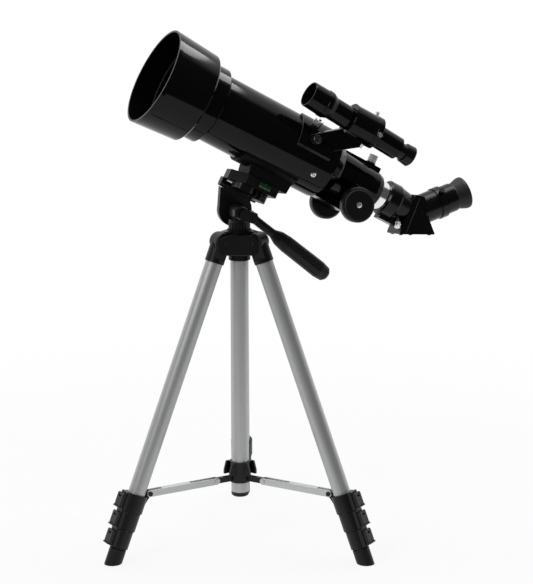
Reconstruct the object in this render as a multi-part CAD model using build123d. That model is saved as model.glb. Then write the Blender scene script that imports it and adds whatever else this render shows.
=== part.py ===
"""A small refracting telescope on a folding photographic tripod.

Millimetres, +Z up. The origin lies on the centre column's axis, on the floor under the feet.
Leg a points away from -Y to the left, leg b to the right, leg c straight back along +Y.
"""
from build123d import *
from math import atan2, cos, pi, radians, sin, sqrt
import os

# Clearances
FACE_GAP = 0.3
RUNNING_FIT = 0.05
SEAT_FIT = 0.05

# Tripod layout
LEG_NAMES = ("a", "b", "c")
LEG_AZIMUTHS = (210.0, 330.0, 90.0)
PIVOT_RADIUS = 24.0
LEG_SPREAD = 21.63
FOOT_REACH = 390.9
PIVOT_HEIGHT = FOOT_REACH * cos(radians(LEG_SPREAD))

# Leg tubes, outer radius and wall
LEG_TUBE_RADIUS = 10.0
LEG_TUBE_WALL = 1.0
TUBE_STEP = LEG_TUBE_WALL + FACE_GAP
SOCKET_RADIUS = 11.3
SOCKET_END = 25.0
SOCKET_WIDTH = 16.0
SOCKET_NECK = 20.8
SOCKET_PLUG = 34.0
KNUCKLE_RADIUS = 11.0
TUBE_TOP = 21.0
INNER_TUBE_TOP = 40.0
INNER_TUBE_STAGGER = 10.0

# Leg locks
LOCK_TOP = 306.0
LOCK_LENGTH = 21.0
LOCK_GAP = 1.0
LOCK_WALL = 3.4
LOCK_SEAT = 10.0
PAD_WIDTH = 15.0
PAD_DEPTH = 2.4
LEVER_WIDTH = 12.6
LEVER_THICK = 4.0
LEVER_MARGIN = 2.4
LEVER_TIP = 1.5
LEVER_LIP = 1.2
TONGUE_WIDTH = 5.0
LEVER_PIN = 1.1

# Spreader
BRACE_OFFSET = 15.5
BRACE_REACH = 302.0
BRACE_WIDTH = 8.2
BRACE_WALL = 1.5
BRACE_HEIGHT = 7.6
EAR_THICK = 4.4
BRACE_PIN = 1.5
RIVET_HEAD = 2.7
HUB_PIVOT_RADIUS = 33.0
HUB_HEIGHT = 25.0
HUB_DROP = 5.0
HUB_WALL = 1.6
LUG_HALF = 3.4
CHEEK_ROOT = 10.0
CHEEK_REACH = 18.0
CHEEK_CROWN = 15.0
CHEEK_RISE = (4.6, 9.0)
CHEEK_HALF = 1.4
FORK_OPEN = 34.0
FORK_OUTER = 16.0
RIVET_THICK = 1.0

# Column
COLUMN_RADIUS = 10.5
COLUMN_WALL = 1.1
COLUMN_BOTTOM = 59.6
CAP_BOTTOM = 54.0
ELEVATOR_WALL = 1.2
ELEVATOR_BOTTOM = 84.0
SHOULDER_BOTTOM = 340.6
SHOULDER_TOP = 372.4
SHOULDER_CORE = 12.6
SHOULDER_FACE = 22.5
SHOULDER_HALF = 24.0
SHOULDER_DECK = 348.9
PIVOT_PIN = 2.5
COLLAR_RADIUS = 12.6
COLLAR_TOP = 384.0
COLLAR_RIBS = 20

# Head
TILT_HEIGHT = 396.0
SCOPE_PAN = 18.9
SCOPE_ALTITUDE = 28.8
TILT_TO_AXIS = 92.5
TILT_TO_FRONT = 158.6
SCOPE_OFFSET = 9.0
SCOPE_ROLL = -8.0
NECK_RADIUS = 10.0
NECK_HALF_WIDTH = 9.0
NECK_BLOCK = 8.0
TILT_PIN = 4.0
BRACKET_THICK = 8.0
BRACKET_RADIUS = 20.0
BRACKET_BOSS = 7.4
BRACKET_INSET = 5.3
PLATFORM_TOP = -52.5
PLATFORM_THICK = 11.4
PLATFORM_FRONT = -31.0
PLATFORM_BACK = 23.5
PLATFORM_WIDTH = 46.0
NEAR_CORNER = (-17.5, 2.0)
FAR_CORNER = 7.0
BRACKET_FRONT = -25.0
BRACKET_EDGE = -29.0
BRACKET_BACK = 12.0
BRACKET_HEEL = (-17.0, -10.5)
BRACKET_WAIST = (6.0, -6.0)
WING_OUT = 22.0
WING_HUB = 7.0
WING_TURN = -20.0
WING_HALF = 4.0
WING_SHAPE = ((-13, 4), (-9, 8), (15, 3), (17, -4), (10, -9), (-12, -3))
WASHER_GAP = 1.2
HANDLE_STUD = 15.0
HANDLE_BOSS = 6.6
HANDLE_X = 8.0
HANDLE_START = 2.0
HANDLE_Z = 3.8
SCREW_X = 10.5
SCREW_Y = -2.0
VIAL_X = 5.5
BOSS_SPAN_X = (-22.0, -1.0)
BOSS_SPAN_Y = (-17.0, 11.0)
BOSS_DEPTH = 7.0
FLIP_PIN = 3.0
FLIP_Z = 21.2
EAR_LENGTH = 6.0
VIAL_RADIUS = 3.6
VIAL_LENGTH = 15.0
THREAD_RADIUS = 3.175
KNOB_RADIUS = 10.5
KNOB_LENGTH = 9.0
HANDLE_DROP = 10.5
HANDLE_LENGTH = 137.0
HANDLE_GRIP = 82.0
HANDLE_RADIUS = 10.5
HANDLE_NECK = 5.2

# Telescope tube, stations measured back from the telescope frame's origin
SHIELD_FRONT = -3.0
SHIELD_LENGTH = 56.0
SHIELD_END = SHIELD_FRONT + SHIELD_LENGTH
SHIELD_RIM = 56.8
SHIELD_TAIL = 53.4
SHIELD_WALL = 2.2
SHIELD_LIP = 4.0
RIM_LAND = 5.0
CELL_RADIUS = 45.4
CELL_SHOWN = 21.0
CELL_HIDDEN = 9.0
CELL_SPIGOT = 10.0
CELL_END = SHIELD_END + CELL_SHOWN
TUBE_RADIUS = 40.0
TUBE_WALL = 1.2
TUBE_LENGTH = 152.0
TUBE_END = CELL_END + TUBE_LENGTH
LENS_RADIUS = 35.0
LENS_SETBACK = 5.0
LENS_STATION = SHIELD_END + LENS_SETBACK
CROWN_THICK = 6.0
FLINT_THICK = 6.0
LENS_LEDGE = 1.5
CROWN_SAG = 2.6
LENS_RINGS = 6
FLINT_SAG = 1.9
FOOT_START = 139.0
FOOT_LENGTH = 57.0
FOOT_END = FOOT_START + FOOT_LENGTH
FOOT_RAKE = 3.0
FLANGE_LEAD = 13.0
FLANGE_START = FOOT_START - FLANGE_LEAD
FLANGE_HALF = 25.0
FLANGE_THICK = 3.0
FOOT_WIDTH = 34.0

# Focuser
FOCUSER_FLARE = 13.0
FOCUSER_RING = TUBE_END + FOCUSER_FLARE
FOCUSER_LENGTH = 78.0
FOCUSER_TAIL = TUBE_END + FOCUSER_LENGTH
FOCUSER_SPIGOT = 12.0
FOCUSER_RADIUS = 26.5
FOCUSER_NOSE = 23.0
DRAW_RADIUS = 17.2
DRAW_WALL = 1.2
DRAW_SHOWN = 18.0
DRAW_LENGTH = 100.0
DRAW_END = FOCUSER_TAIL + DRAW_SHOWN
DRAW_START = DRAW_END - DRAW_LENGTH
PINION_SETBACK = 34.5
PINION_STATION = FOCUSER_TAIL - PINION_SETBACK
RACK_PITCH = 2.5
PINION_TEETH = 12
WHEEL_RADIUS = 20.5
WHEEL_WIDTH = 12.0
WHEEL_FACE = 49.0
SHAFT_RADIUS = 2.5
RACK_START = DRAW_START + 2.0
RACK_SETBACK = 30.0
RACK_STOP = DRAW_END - RACK_SETBACK
RACK_HALF = 4.0
RACK_DEPTH = 7.8
HUMP_RADIUS = 9.0
HUMP_HALF = 30.0
KEEL_HALF = 9.0
RAIL_TOP = 28.0
RAIL_HALF = 5.0
RAIL_DEPTH = 10.0
LOCK_SETBACK = 21.0
LOCK_STATION = FOCUSER_TAIL - LOCK_SETBACK
LOCK_KNOB = 5.2
LOCK_KNOB_LENGTH = 9.0
LOCK_STEM = 2.0

# Diagonal and eyepiece
ADAPTER_RADIUS = 21.5
ADAPTER_GRIP = 8.0
ADAPTER_SHOWN = 23.5
ADAPTER_END = DRAW_END + ADAPTER_SHOWN
ADAPTER_STEP = ADAPTER_END - 13.5
ADAPTER_TAPER = 20.5
ADAPTER_END_RADIUS = 18.3
THUMB_STATION = ADAPTER_END - 5.5
THUMB_STEM = 1.5
THUMB_HEAD = 3.6
THUMB_LENGTH = 7.0
THUMB_BASE = 25.0
THUMB_ROLL = 147.0
ADAPTER_BOSS = 25.4
ADAPTER_BOSS_HALF = 7.0
NOSE_RADIUS = 15.875
NOSE_WALL = 2.4
NOSE_LENGTH = 22.0
BEND_SETBACK = 14.5
BEND_STATION = ADAPTER_END + BEND_SETBACK
BEND_ANGLE = 45.0
HOLDER_RADIUS = 18.0
HOLDER_LENGTH = 40.0
HOLDER_THUMB_ROLL = 50.0
HOLDER_COLLAR = 9.0
HOLDER_COLLAR_STEP = 1.2
HOLDER_SEAT = 16.0
HOLDER_THUMB = 3.2
HOLDER_THUMB_LENGTH = 6.0
PRISM_WIDTH = 34.0
PRISM_WALL = 3.0
PRISM_TOP = 18.0
PRISM_LIP = 30.5
PRISM_TOE = ((-13.0, -32.2), (-12.0, -32.8))
PRISM_BACK = ((28.6, -14.4), (29.2, -13.2), (13.7, 0.1), (3.2, 15.3), (-2.7, 20.4))
PRISM_CELL = ((18.0, -16.5), (6.5, 4.0), (-4.0, 14.5))
PRISM_CELL_SPAN = (14.0, -30.0)
PRISM_CLEAR = 0.7
PRISM_WINDOW = 10.0
EYEPIECE_LENGTH = 36.5
EYEPIECE_RADIUS = 17.4
EYEPIECE_BORE = 12.6
EYEPIECE_NECK = 14.6
EYEPIECE_NECK_LENGTH = 8.0
EYE_LENS_RADIUS = 9.1
EYE_LENS_SEAT = 8.0
EYE_LENS_SETBACK = 5.0
EYECUP_RADIUS = 19.4
EYECUP_ROOT = 16.2
EYECUP_BORE = 12.2
EYECUP_LENGTH = 17.0

# Finder
FINDER_ROLL = 40.0
FINDER_PITCH = 3.5
FINDER_DISTANCE = 70.3
SADDLE_SETBACK = 10.0
SADDLE_LENGTH = 45.0
SADDLE_END = TUBE_END - SADDLE_SETBACK
SADDLE_START = SADDLE_END - SADDLE_LENGTH
SADDLE_HALF = 23.0
SADDLE_THICK = 3.0
SADDLE_ROLL = 55.0
FINDER_RING_LENGTH = 39.0
FINDER_RING_START = SADDLE_END - 1.0
FINDER_RING_END = FINDER_RING_START + FINDER_RING_LENGTH
FINDER_RING = 18.6
RING_WALL = 2.4
RING_COLLAR = 4.0
FINDER_LEAD = 58.0
FINDER_LENGTH = 130.0
FINDER_FRONT = FINDER_RING_START - FINDER_LEAD
FINDER_TAIL = FINDER_FRONT + FINDER_LENGTH
FINDER_HOOD = 15.8
FINDER_HOOD_LENGTH = 27.0
FINDER_STEP = FINDER_FRONT + FINDER_HOOD_LENGTH
FINDER_TUBE = 13.4
FINDER_TAPER = 6.0
FINDER_WALL = 1.5
FINDER_STOP = 9.5
FINDER_GLASS = 4.0
FINDER_BARREL = 9.4
FINDER_CUP = 12.4
FINDER_EYE_BORE = 6.5
FINDER_EYE_LENGTH = 21.0
ALIGN_SETBACK = 5.0
ALIGN_STEM = 1.3
ALIGN_HEAD = 2.6
ALIGN_LENGTH = 6.0
ALIGN_ANGLES = (60, 180, 300)
NUT_ANGLE = 17.0
NUT_STATION = SADDLE_START + 18.5
NUT_RADIUS = 5.4
NUT_LENGTH = 7.0
NUT_STUD = 2.0
STALK_START = SADDLE_START + 11.0
STALK_END = FINDER_RING_END - 10.0
STALK_Y = -31.5
STALK_HALF = 4.5
STALK_ROOT = (22.0, 14.0)
STALK_TIP = (37.0, 46.0)


def rod(x0, x1, radius):
    return Pos((x0 + x1) / 2, 0, 0) * Rot(0, 90, 0) * Cylinder(radius, x1 - x0)


def pipe(x0, x1, outer, inner):
    return rod(x0, x1, outer) - rod(x0 - 1, x1 + 1, inner)


def post(z0, z1, radius):
    return Pos(0, 0, (z0 + z1) / 2) * Cylinder(radius, z1 - z0)


def sleeve(z0, z1, outer, inner):
    return post(z0, z1, outer) - post(z0 - 1, z1 + 1, inner)


def pin_y(x, z, y0, y1, radius):
    return Pos(x, (y0 + y1) / 2, z) * Rot(90, 0, 0) * Cylinder(radius, y1 - y0)


def block(x0, x1, y0, y1, z0, z1):
    return Pos((x0 + x1) / 2, (y0 + y1) / 2, (z0 + z1) / 2) * Box(x1 - x0, y1 - y0, z1 - z0)


def plate_xz(points, half_width):
    """A plate in the XZ plane, given by its outline, half_width to each side of it."""
    outline = make_face(Polyline(*[(x, 0, z) for x, z in points], close=True))
    return extrude(outline, half_width, dir=(0, 1, 0), both=True)


def turned(points):
    """A solid turned about X from (station, radius) points."""
    return revolve(make_face(Polyline(*points, close=True)), axis=Axis.X)


def knurled(shape_radius, length, teeth, depth, place):
    """A knurled knob along X: a cylinder with straight V grooves."""
    body = rod(0, length, shape_radius)
    groove = Pos(length / 2, shape_radius, 0) * Rot(45, 0, 0) * Box(length + 2, depth, depth)
    for step in range(teeth):
        body -= Rot(step * 360 / teeth, 0, 0) * groove
    return place * body


PARTS = {}


def keep(name, *solids):
    flat = []
    for shape in solids:
        flat.extend(shape.solids())
    PARTS[name] = flat[0] if len(flat) == 1 else Compound(children=flat)


# Legs
def leg_frame(azimuth):
    """Local Z runs up the leg to its pivot at 0, local X points outward."""
    return Rot(0, 0, azimuth) * Pos(PIVOT_RADIUS, 0, PIVOT_HEIGHT) * Rot(0, -LEG_SPREAD, 0)


def tube_radius(section):
    return LEG_TUBE_RADIUS - section * TUBE_STEP


def lock_span(section):
    top = LOCK_TOP + section * (LOCK_LENGTH + LOCK_GAP)
    return top, top + LOCK_LENGTH


def lock_outer(section):
    return tube_radius(section) + LOCK_WALL


def lever_hinge(section):
    """Where the lever's pin stands: the radius from the leg axis and the station down the leg."""
    top, _ = lock_span(section)
    radius = lock_outer(section) + PAD_DEPTH + FACE_GAP + LEVER_THICK / 2
    return radius, top + LEVER_MARGIN + LEVER_THICK / 2


def lock_collar(section):
    top, bottom = lock_span(section)
    outer = lock_outer(section)
    body = post(-bottom, -top, outer)
    pad = block(0, outer + PAD_DEPTH, -PAD_WIDTH / 2, PAD_WIDTH / 2, -bottom, -top)
    hx, hz = lever_hinge(section)
    half, thick = TONGUE_WIDTH / 2, LEVER_THICK / 2
    tongue = block(outer, hx, -half, half, -hz - thick, -hz + thick)
    tongue += pin_y(hx, -hz, -half, half, thick)
    body = body + pad
    body = fillet(body.edges().filter_by(Axis.Z).sort_by(Axis.X)[-2:], 1.0)
    body += tongue
    body -= post(-top - LOCK_SEAT, -top + 1, tube_radius(section) + SEAT_FIT)
    body -= post(-bottom - 1, -top, tube_radius(section + 1) + FACE_GAP)
    body -= pin_y(hx, -hz, -PAD_WIDTH, PAD_WIDTH, LEVER_PIN + RUNNING_FIT)
    return body


def lever(section):
    _, bottom = lock_span(section)
    hx, hz = lever_hinge(section)
    half = LEVER_WIDTH / 2
    plate = block(hx - LEVER_THICK / 2, hx + LEVER_THICK / 2, -half, half, -bottom + LEVER_TIP, -hz)
    plate += pin_y(hx, -hz, -half, half, LEVER_THICK / 2)
    tip = -bottom + LEVER_TIP
    lip = block(hx, hx + LEVER_THICK / 2 + LEVER_LIP, -half, half, tip, tip + LEVER_TIP)
    slot = TONGUE_WIDTH / 2 + FACE_GAP
    slot_end = -hz - LEVER_THICK / 2 - 1.0
    plate -= block(hx - LEVER_THICK, hx + LEVER_THICK, -slot, slot, slot_end, -hz + LEVER_THICK)
    return plate + lip + pin_y(hx, -hz, -half, half, LEVER_PIN)


def socket():
    knuckle = pin_y(0, 0, -SOCKET_WIDTH / 2, SOCKET_WIDTH / 2, KNUCKLE_RADIUS)
    body = post(-SOCKET_END, -4, SOCKET_RADIUS)
    body = body + knuckle
    neck = SOCKET_WIDTH / 2
    body -= block(-20, 20, neck, 30, -SOCKET_NECK, 20)
    body -= block(-20, 20, -30, -neck, -SOCKET_NECK, 20)
    body -= post(-SOCKET_END - 1, -TUBE_TOP, LEG_TUBE_RADIUS + SEAT_FIT)
    body += post(-SOCKET_PLUG, -TUBE_TOP + 1, LEG_TUBE_RADIUS - LEG_TUBE_WALL - SEAT_FIT)
    return body - pin_y(0, 0, -30, 30, PIVOT_PIN + RUNNING_FIT)


def brace_ear():
    half = EAR_THICK / 2
    inner = LEG_TUBE_RADIUS + 0.6
    ear = plate_xz(
        [
            (-inner, -BRACE_REACH + 1),
            (-BRACE_OFFSET, -BRACE_REACH + 3),
            (-BRACE_OFFSET - 3, -BRACE_REACH),
            (-BRACE_OFFSET - 1, -BRACE_REACH - 6),
            (-lock_outer(0) + 0.4, -LOCK_TOP - 14),
            (-inner, -LOCK_TOP - 14),
        ],
        half,
    )
    wide = BRACE_WIDTH / 2 + FACE_GAP
    pin = pin_y(-BRACE_OFFSET, -BRACE_REACH, -wide, wide, BRACE_PIN)
    for side in (-1, 1):
        head = pin_y(-BRACE_OFFSET, -BRACE_REACH, 0, RIVET_THICK, RIVET_HEAD)
        pin += Pos(0, wide if side > 0 else -wide - RIVET_THICK, 0) * head
    return ear + pin


def make_legs():
    for name, azimuth in zip(LEG_NAMES, LEG_AZIMUTHS):
        frame = leg_frame(azimuth)
        bottoms = [lock_span(s)[0] + LOCK_SEAT for s in range(3)]
        tube = sleeve(-bottoms[0], -TUBE_TOP, LEG_TUBE_RADIUS, LEG_TUBE_RADIUS - LEG_TUBE_WALL)
        keep(f"leg_{name}_upper", frame * socket(), frame * tube, frame * (lock_collar(0) + brace_ear()))
        for section in (1, 2):
            top = INNER_TUBE_TOP + (section - 1) * INNER_TUBE_STAGGER
            radius = tube_radius(section)
            inner = sleeve(-bottoms[section], -top, radius, radius - LEG_TUBE_WALL)
            keep(f"leg_{name}_section_{section + 1}", frame * inner, frame * lock_collar(section))
        keep(f"leg_{name}_foot_section", *foot_section(frame))
        for section in range(3):
            keep(f"leg_{name}_lever_{section + 1}", frame * lever(section))
        keep(f"leg_{name}_brace", brace(azimuth))


def foot_section(frame):
    """The last tube and its rubber foot, cut level with the floor."""
    top = INNER_TUBE_TOP + 2 * INNER_TUBE_STAGGER
    start = lock_span(2)[1] + LOCK_GAP
    seat = start + 8
    radius = tube_radius(3)
    tube = sleeve(-seat, -top, radius, radius - LEG_TUBE_WALL)
    foot_radius = lock_outer(2) - 1.0
    foot = post(-FOOT_REACH - 12, -start, foot_radius)
    foot = fillet(foot.edges().sort_by(Axis.Z)[-1], 1.5)
    foot -= post(-seat, -start + 1, radius + SEAT_FIT)
    foot = frame * foot
    foot -= block(-400, 400, -400, 400, -60, 0)
    return frame * tube, foot


# Spreader
def brace_pivot_height():
    spread = radians(LEG_SPREAD)
    return PIVOT_HEIGHT - BRACE_REACH * cos(spread) - BRACE_OFFSET * sin(spread)


def brace_pivot_radius():
    spread = radians(LEG_SPREAD)
    return PIVOT_RADIUS + BRACE_REACH * sin(spread) - BRACE_OFFSET * cos(spread)


def brace(azimuth):
    """A folded steel channel, level at rest, forked at both ends."""
    outer, inner = brace_pivot_radius(), HUB_PIVOT_RADIUS
    half, high = BRACE_WIDTH / 2, BRACE_HEIGHT / 2
    body = block(inner, outer, -half, half, -high, high)
    body += pin_y(inner, 0, -half, half, high) + pin_y(outer, 0, -half, half, high)
    gap = half - BRACE_WALL
    body -= block(inner - 10, outer + 10, -gap, gap, -high - 1, high - BRACE_WALL)
    body -= block(inner - 10, inner + FORK_OPEN, -gap, gap, -high - 1, high + 1)
    body -= block(outer - FORK_OUTER, outer + 10, -gap, gap, -high - 1, high + 1)
    body -= pin_y(outer, 0, -half - 1, half + 1, BRACE_PIN + RUNNING_FIT)
    for side in (-1, 1):
        head = pin_y(inner, 0, 0, RIVET_THICK, RIVET_HEAD)
        body += Pos(0, half if side > 0 else -half - RIVET_THICK, 0) * head
    return Rot(0, 0, azimuth) * Pos(0, 0, brace_pivot_height()) * body


def make_spreader():
    level = brace_pivot_height()
    inner = COLUMN_RADIUS + FACE_GAP
    low = level - HUB_DROP
    hub = sleeve(low, low + HUB_HEIGHT, inner + HUB_WALL, inner)
    for azimuth in LEG_AZIMUTHS:
        turn = Rot(0, 0, azimuth)
        ear = EAR_THICK / 2
        lug = block(inner + HUB_WALL / 2, HUB_PIVOT_RADIUS, -ear, ear, level - LUG_HALF, level + LUG_HALF)
        lug += pin_y(HUB_PIVOT_RADIUS, level, -ear, ear, LUG_HALF)
        hub += turn * lug
        clear = BRACE_WIDTH / 2 + CHEEK_HALF
        bottom, step, top = level + CHEEK_RISE[0], level + CHEEK_RISE[1], low + HUB_HEIGHT
        outline = [(CHEEK_ROOT, bottom), (CHEEK_REACH, bottom), (CHEEK_REACH, step)]
        outline += [(CHEEK_CROWN, top), (CHEEK_ROOT, top)]
        for side in (-1, 1):
            hub += turn * Pos(0, side * (clear + CHEEK_HALF), 0) * plate_xz(outline, CHEEK_HALF)
    hub -= post(low - 1, low + HUB_HEIGHT + 1, inner)
    keep("spreader_hub", hub)


# Column and shoulder
def shoulder_cheek():
    """The flat-faced block between two legs, with round ends about their pivots."""
    radius = (SHOULDER_TOP - SHOULDER_DECK) / 2
    middle = SHOULDER_DECK + radius
    offset = SHOULDER_HALF - radius
    body = block(0, SHOULDER_FACE, -offset, offset, SHOULDER_DECK, SHOULDER_TOP)
    for side in (-offset, offset):
        body += Pos(0, side, middle) * rod(0, SHOULDER_FACE, radius)
    return chamfer(body.faces().sort_by(Axis.X)[-1].edges(), 0.8)


def make_column():
    tube = sleeve(COLUMN_BOTTOM, SHOULDER_TOP - 8, COLUMN_RADIUS, COLUMN_RADIUS - COLUMN_WALL)
    keep("centre_tube", tube)
    cap = post(CAP_BOTTOM, COLUMN_BOTTOM, COLUMN_RADIUS)
    cap = fillet(cap.edges().sort_by(Axis.Z)[0], 2.5)
    cap += post(COLUMN_BOTTOM - 1, COLUMN_BOTTOM + 12, COLUMN_RADIUS - COLUMN_WALL - SEAT_FIT)
    keep("column_end_cap", cap)
    core = post(SHOULDER_BOTTOM, SHOULDER_TOP, SHOULDER_CORE)
    crown = core
    for azimuth in LEG_AZIMUTHS:
        crown += Rot(0, 0, azimuth + 60) * shoulder_cheek()
    half = SOCKET_WIDTH / 2 + FACE_GAP
    pins = []
    for azimuth in LEG_AZIMUTHS:
        turn = Rot(0, 0, azimuth)
        crown -= turn * block(SHOULDER_CORE, 60, -half, half, SHOULDER_BOTTOM, SHOULDER_TOP + 5)
        reach = half + 4.0
        bore = pin_y(PIVOT_RADIUS, PIVOT_HEIGHT, -reach, reach, PIVOT_PIN)
        crown -= turn * bore
        pins.append(turn * bore)
    elevator = COLUMN_RADIUS - COLUMN_WALL - FACE_GAP
    shoulder = crown
    shoulder -= post(SHOULDER_BOTTOM - 1, SHOULDER_TOP - 8, COLUMN_RADIUS + SEAT_FIT)
    shoulder -= post(SHOULDER_BOTTOM, SHOULDER_TOP + 1, elevator + FACE_GAP)
    keep("shoulder", shoulder, *pins)
    head_top = TILT_HEIGHT - NECK_RADIUS - FACE_GAP - 2
    keep("elevator_column", sleeve(ELEVATOR_BOTTOM, head_top, elevator, elevator - ELEVATOR_WALL))
    collar = sleeve(SHOULDER_TOP + FACE_GAP, COLLAR_TOP, COLLAR_RADIUS, elevator + RUNNING_FIT)
    groove = Pos(COLLAR_RADIUS + 0.4, 0, COLLAR_TOP) * Box(2.2, 1.4, 16)
    for step in range(COLLAR_RIBS):
        collar -= Rot(0, 0, step * 360 / COLLAR_RIBS) * groove
    bore = elevator + RUNNING_FIT
    collar += sleeve(SHOULDER_TOP + FACE_GAP, SHOULDER_TOP + 3.8, COLLAR_RADIUS + 1.4, bore)
    keep("column_lock_collar", collar)


# Head
def pan_frame():
    return Pos(0, 0, TILT_HEIGHT) * Rot(0, 0, SCOPE_PAN)


def tilt_frame():
    """At the tilt axis, local X runs back along the telescope, -Y is the near side."""
    return pan_frame() * Rot(0, SCOPE_ALTITUDE, 0)


def scope_frame():
    """On the telescope's axis just inside the dew shield, local X runs back along the tube."""
    return tilt_frame() * Pos(-TILT_TO_FRONT, SCOPE_OFFSET, TILT_TO_AXIS) * Rot(SCOPE_ROLL, 0, 0)


def platform_frame():
    """Under the telescope, rolled with it, with X measured from the tilt axis."""
    return scope_frame() * Pos(TILT_TO_FRONT, 0, -TILT_TO_AXIS)


PLATFORM_LOW = TILT_TO_AXIS + PLATFORM_TOP - PLATFORM_THICK
BRACKET_NEAR = NECK_HALF_WIDTH + FACE_GAP + BRACKET_INSET
BRACKET_FAR = BRACKET_NEAR + BRACKET_THICK
FLIP_Y = BRACKET_NEAR + BRACKET_THICK / 2
FLIP_BARREL = BRACKET_THICK / 2 + 0.5


def flip_place():
    """The flip hinge's place in the platform's rolled frame."""
    across, down = FLIP_Y - SCOPE_OFFSET, FLIP_Z - TILT_TO_AXIS
    c, s = cos(radians(-SCOPE_ROLL)), sin(radians(-SCOPE_ROLL))
    return across * c - down * s, across * s + down * c + TILT_TO_AXIS


def make_neck():
    base = COLLAR_TOP + FACE_GAP - TILT_HEIGHT
    spigot = COLUMN_RADIUS - COLUMN_WALL - FACE_GAP - ELEVATOR_WALL - RUNNING_FIT
    neck = post(base, base + 4.0, COLLAR_RADIUS - 0.3) + post(base - 22, base + 1, spigot)
    neck += block(-NECK_BLOCK, NECK_BLOCK, -NECK_HALF_WIDTH, NECK_HALF_WIDTH, base, 0)
    neck += pin_y(0, 0, -NECK_HALF_WIDTH, NECK_HALF_WIDTH, NECK_RADIUS)
    neck -= pin_y(0, 0, -30, 30, TILT_PIN + RUNNING_FIT)
    keep("pan_neck", pan_frame() * neck)


def make_bracket():
    back, front = BRACKET_FRONT, BRACKET_BACK
    plate = pin_y(0, 0, BRACKET_NEAR, BRACKET_FAR, BRACKET_RADIUS)
    shelf = FLIP_Z - FLIP_BARREL - 2 * FACE_GAP
    waist, low = BRACKET_WAIST
    outline = [BRACKET_HEEL, (BRACKET_EDGE, shelf), (back, shelf)]
    outline += [(back, FLIP_Z), (front, FLIP_Z), (front, waist), (BRACKET_RADIUS - 2, low)]
    web = plate_xz(outline, BRACKET_THICK / 2)
    plate += Pos(0, FLIP_Y, 0) * web
    plate += Pos(0, FLIP_Y, FLIP_Z) * rod(back, front, FLIP_BARREL)
    plate += pin_y(0, 0, NECK_HALF_WIDTH + FACE_GAP, BRACKET_NEAR + 1, BRACKET_BOSS)
    plate += pin_y(0, 0, -WING_OUT, BRACKET_NEAR + 1, TILT_PIN)
    plate += handle_place() * rod(0, HANDLE_STUD - FACE_GAP, HANDLE_BOSS)
    plate -= Pos(0, FLIP_Y, FLIP_Z) * rod(back - 1, front + 1, FLIP_PIN + RUNNING_FIT)
    plate -= handle_place() * rod(HANDLE_START, HANDLE_STUD + 2, THREAD_RADIUS + RUNNING_FIT)
    keep("tilt_bracket", tilt_frame() * plate)
    near = -NECK_HALF_WIDTH - FACE_GAP
    knob = pin_y(0, 0, -WING_OUT + 1, near - WASHER_GAP, WING_HUB)
    wing = plate_xz(WING_SHAPE, WING_HALF)
    knob += Pos(0, WING_HALF + 1 - WING_OUT, 0) * Rot(0, WING_TURN, 0) * wing
    knob -= pin_y(0, 0, -60, 0, TILT_PIN + RUNNING_FIT)
    knob += pin_y(0, 0, -WING_OUT - 2.0, -WING_OUT - FACE_GAP, WING_HUB)
    cap = pin_y(0, 0, -WING_OUT - 1.0, -WING_OUT + 2, WING_HUB)
    knob += cap - pin_y(0, 0, -WING_OUT - FACE_GAP, 0, TILT_PIN + RUNNING_FIT)
    keep("tilt_wing_knob", tilt_frame() * knob)


def handle_place():
    """Local X runs down the pan handle from inside the bracket."""
    return Pos(HANDLE_X, FLIP_Y, HANDLE_Z) * Rot(0, HANDLE_DROP, 0)


def make_handle():
    a, g, end = HANDLE_STUD, HANDLE_LENGTH - HANDLE_GRIP, HANDLE_LENGTH
    r, big = HANDLE_NECK, HANDLE_RADIUS
    points = [(a, 0), (a, r + 1.2), (a + 8, r), (g - 6, r), (g + 4, big - 1.6), (g + 16, big - 0.4)]
    points += [(end - 14, big), (end - 4, big - 1.4), (end - 0.8, big - 4.5), (end, 0)]
    body = turned(points)
    for step in range(8):
        groove = Pos((g + end) / 2 - 2, big + 0.5, 0) * Rot(45, 0, 0) * Box(HANDLE_GRIP - 24, 2.2, 2.2)
        body -= Rot(step * 45, 0, 0) * groove
    body += rod(HANDLE_START + FACE_GAP, a + 1, THREAD_RADIUS)
    keep("pan_handle", tilt_frame() * handle_place() * body)


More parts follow.
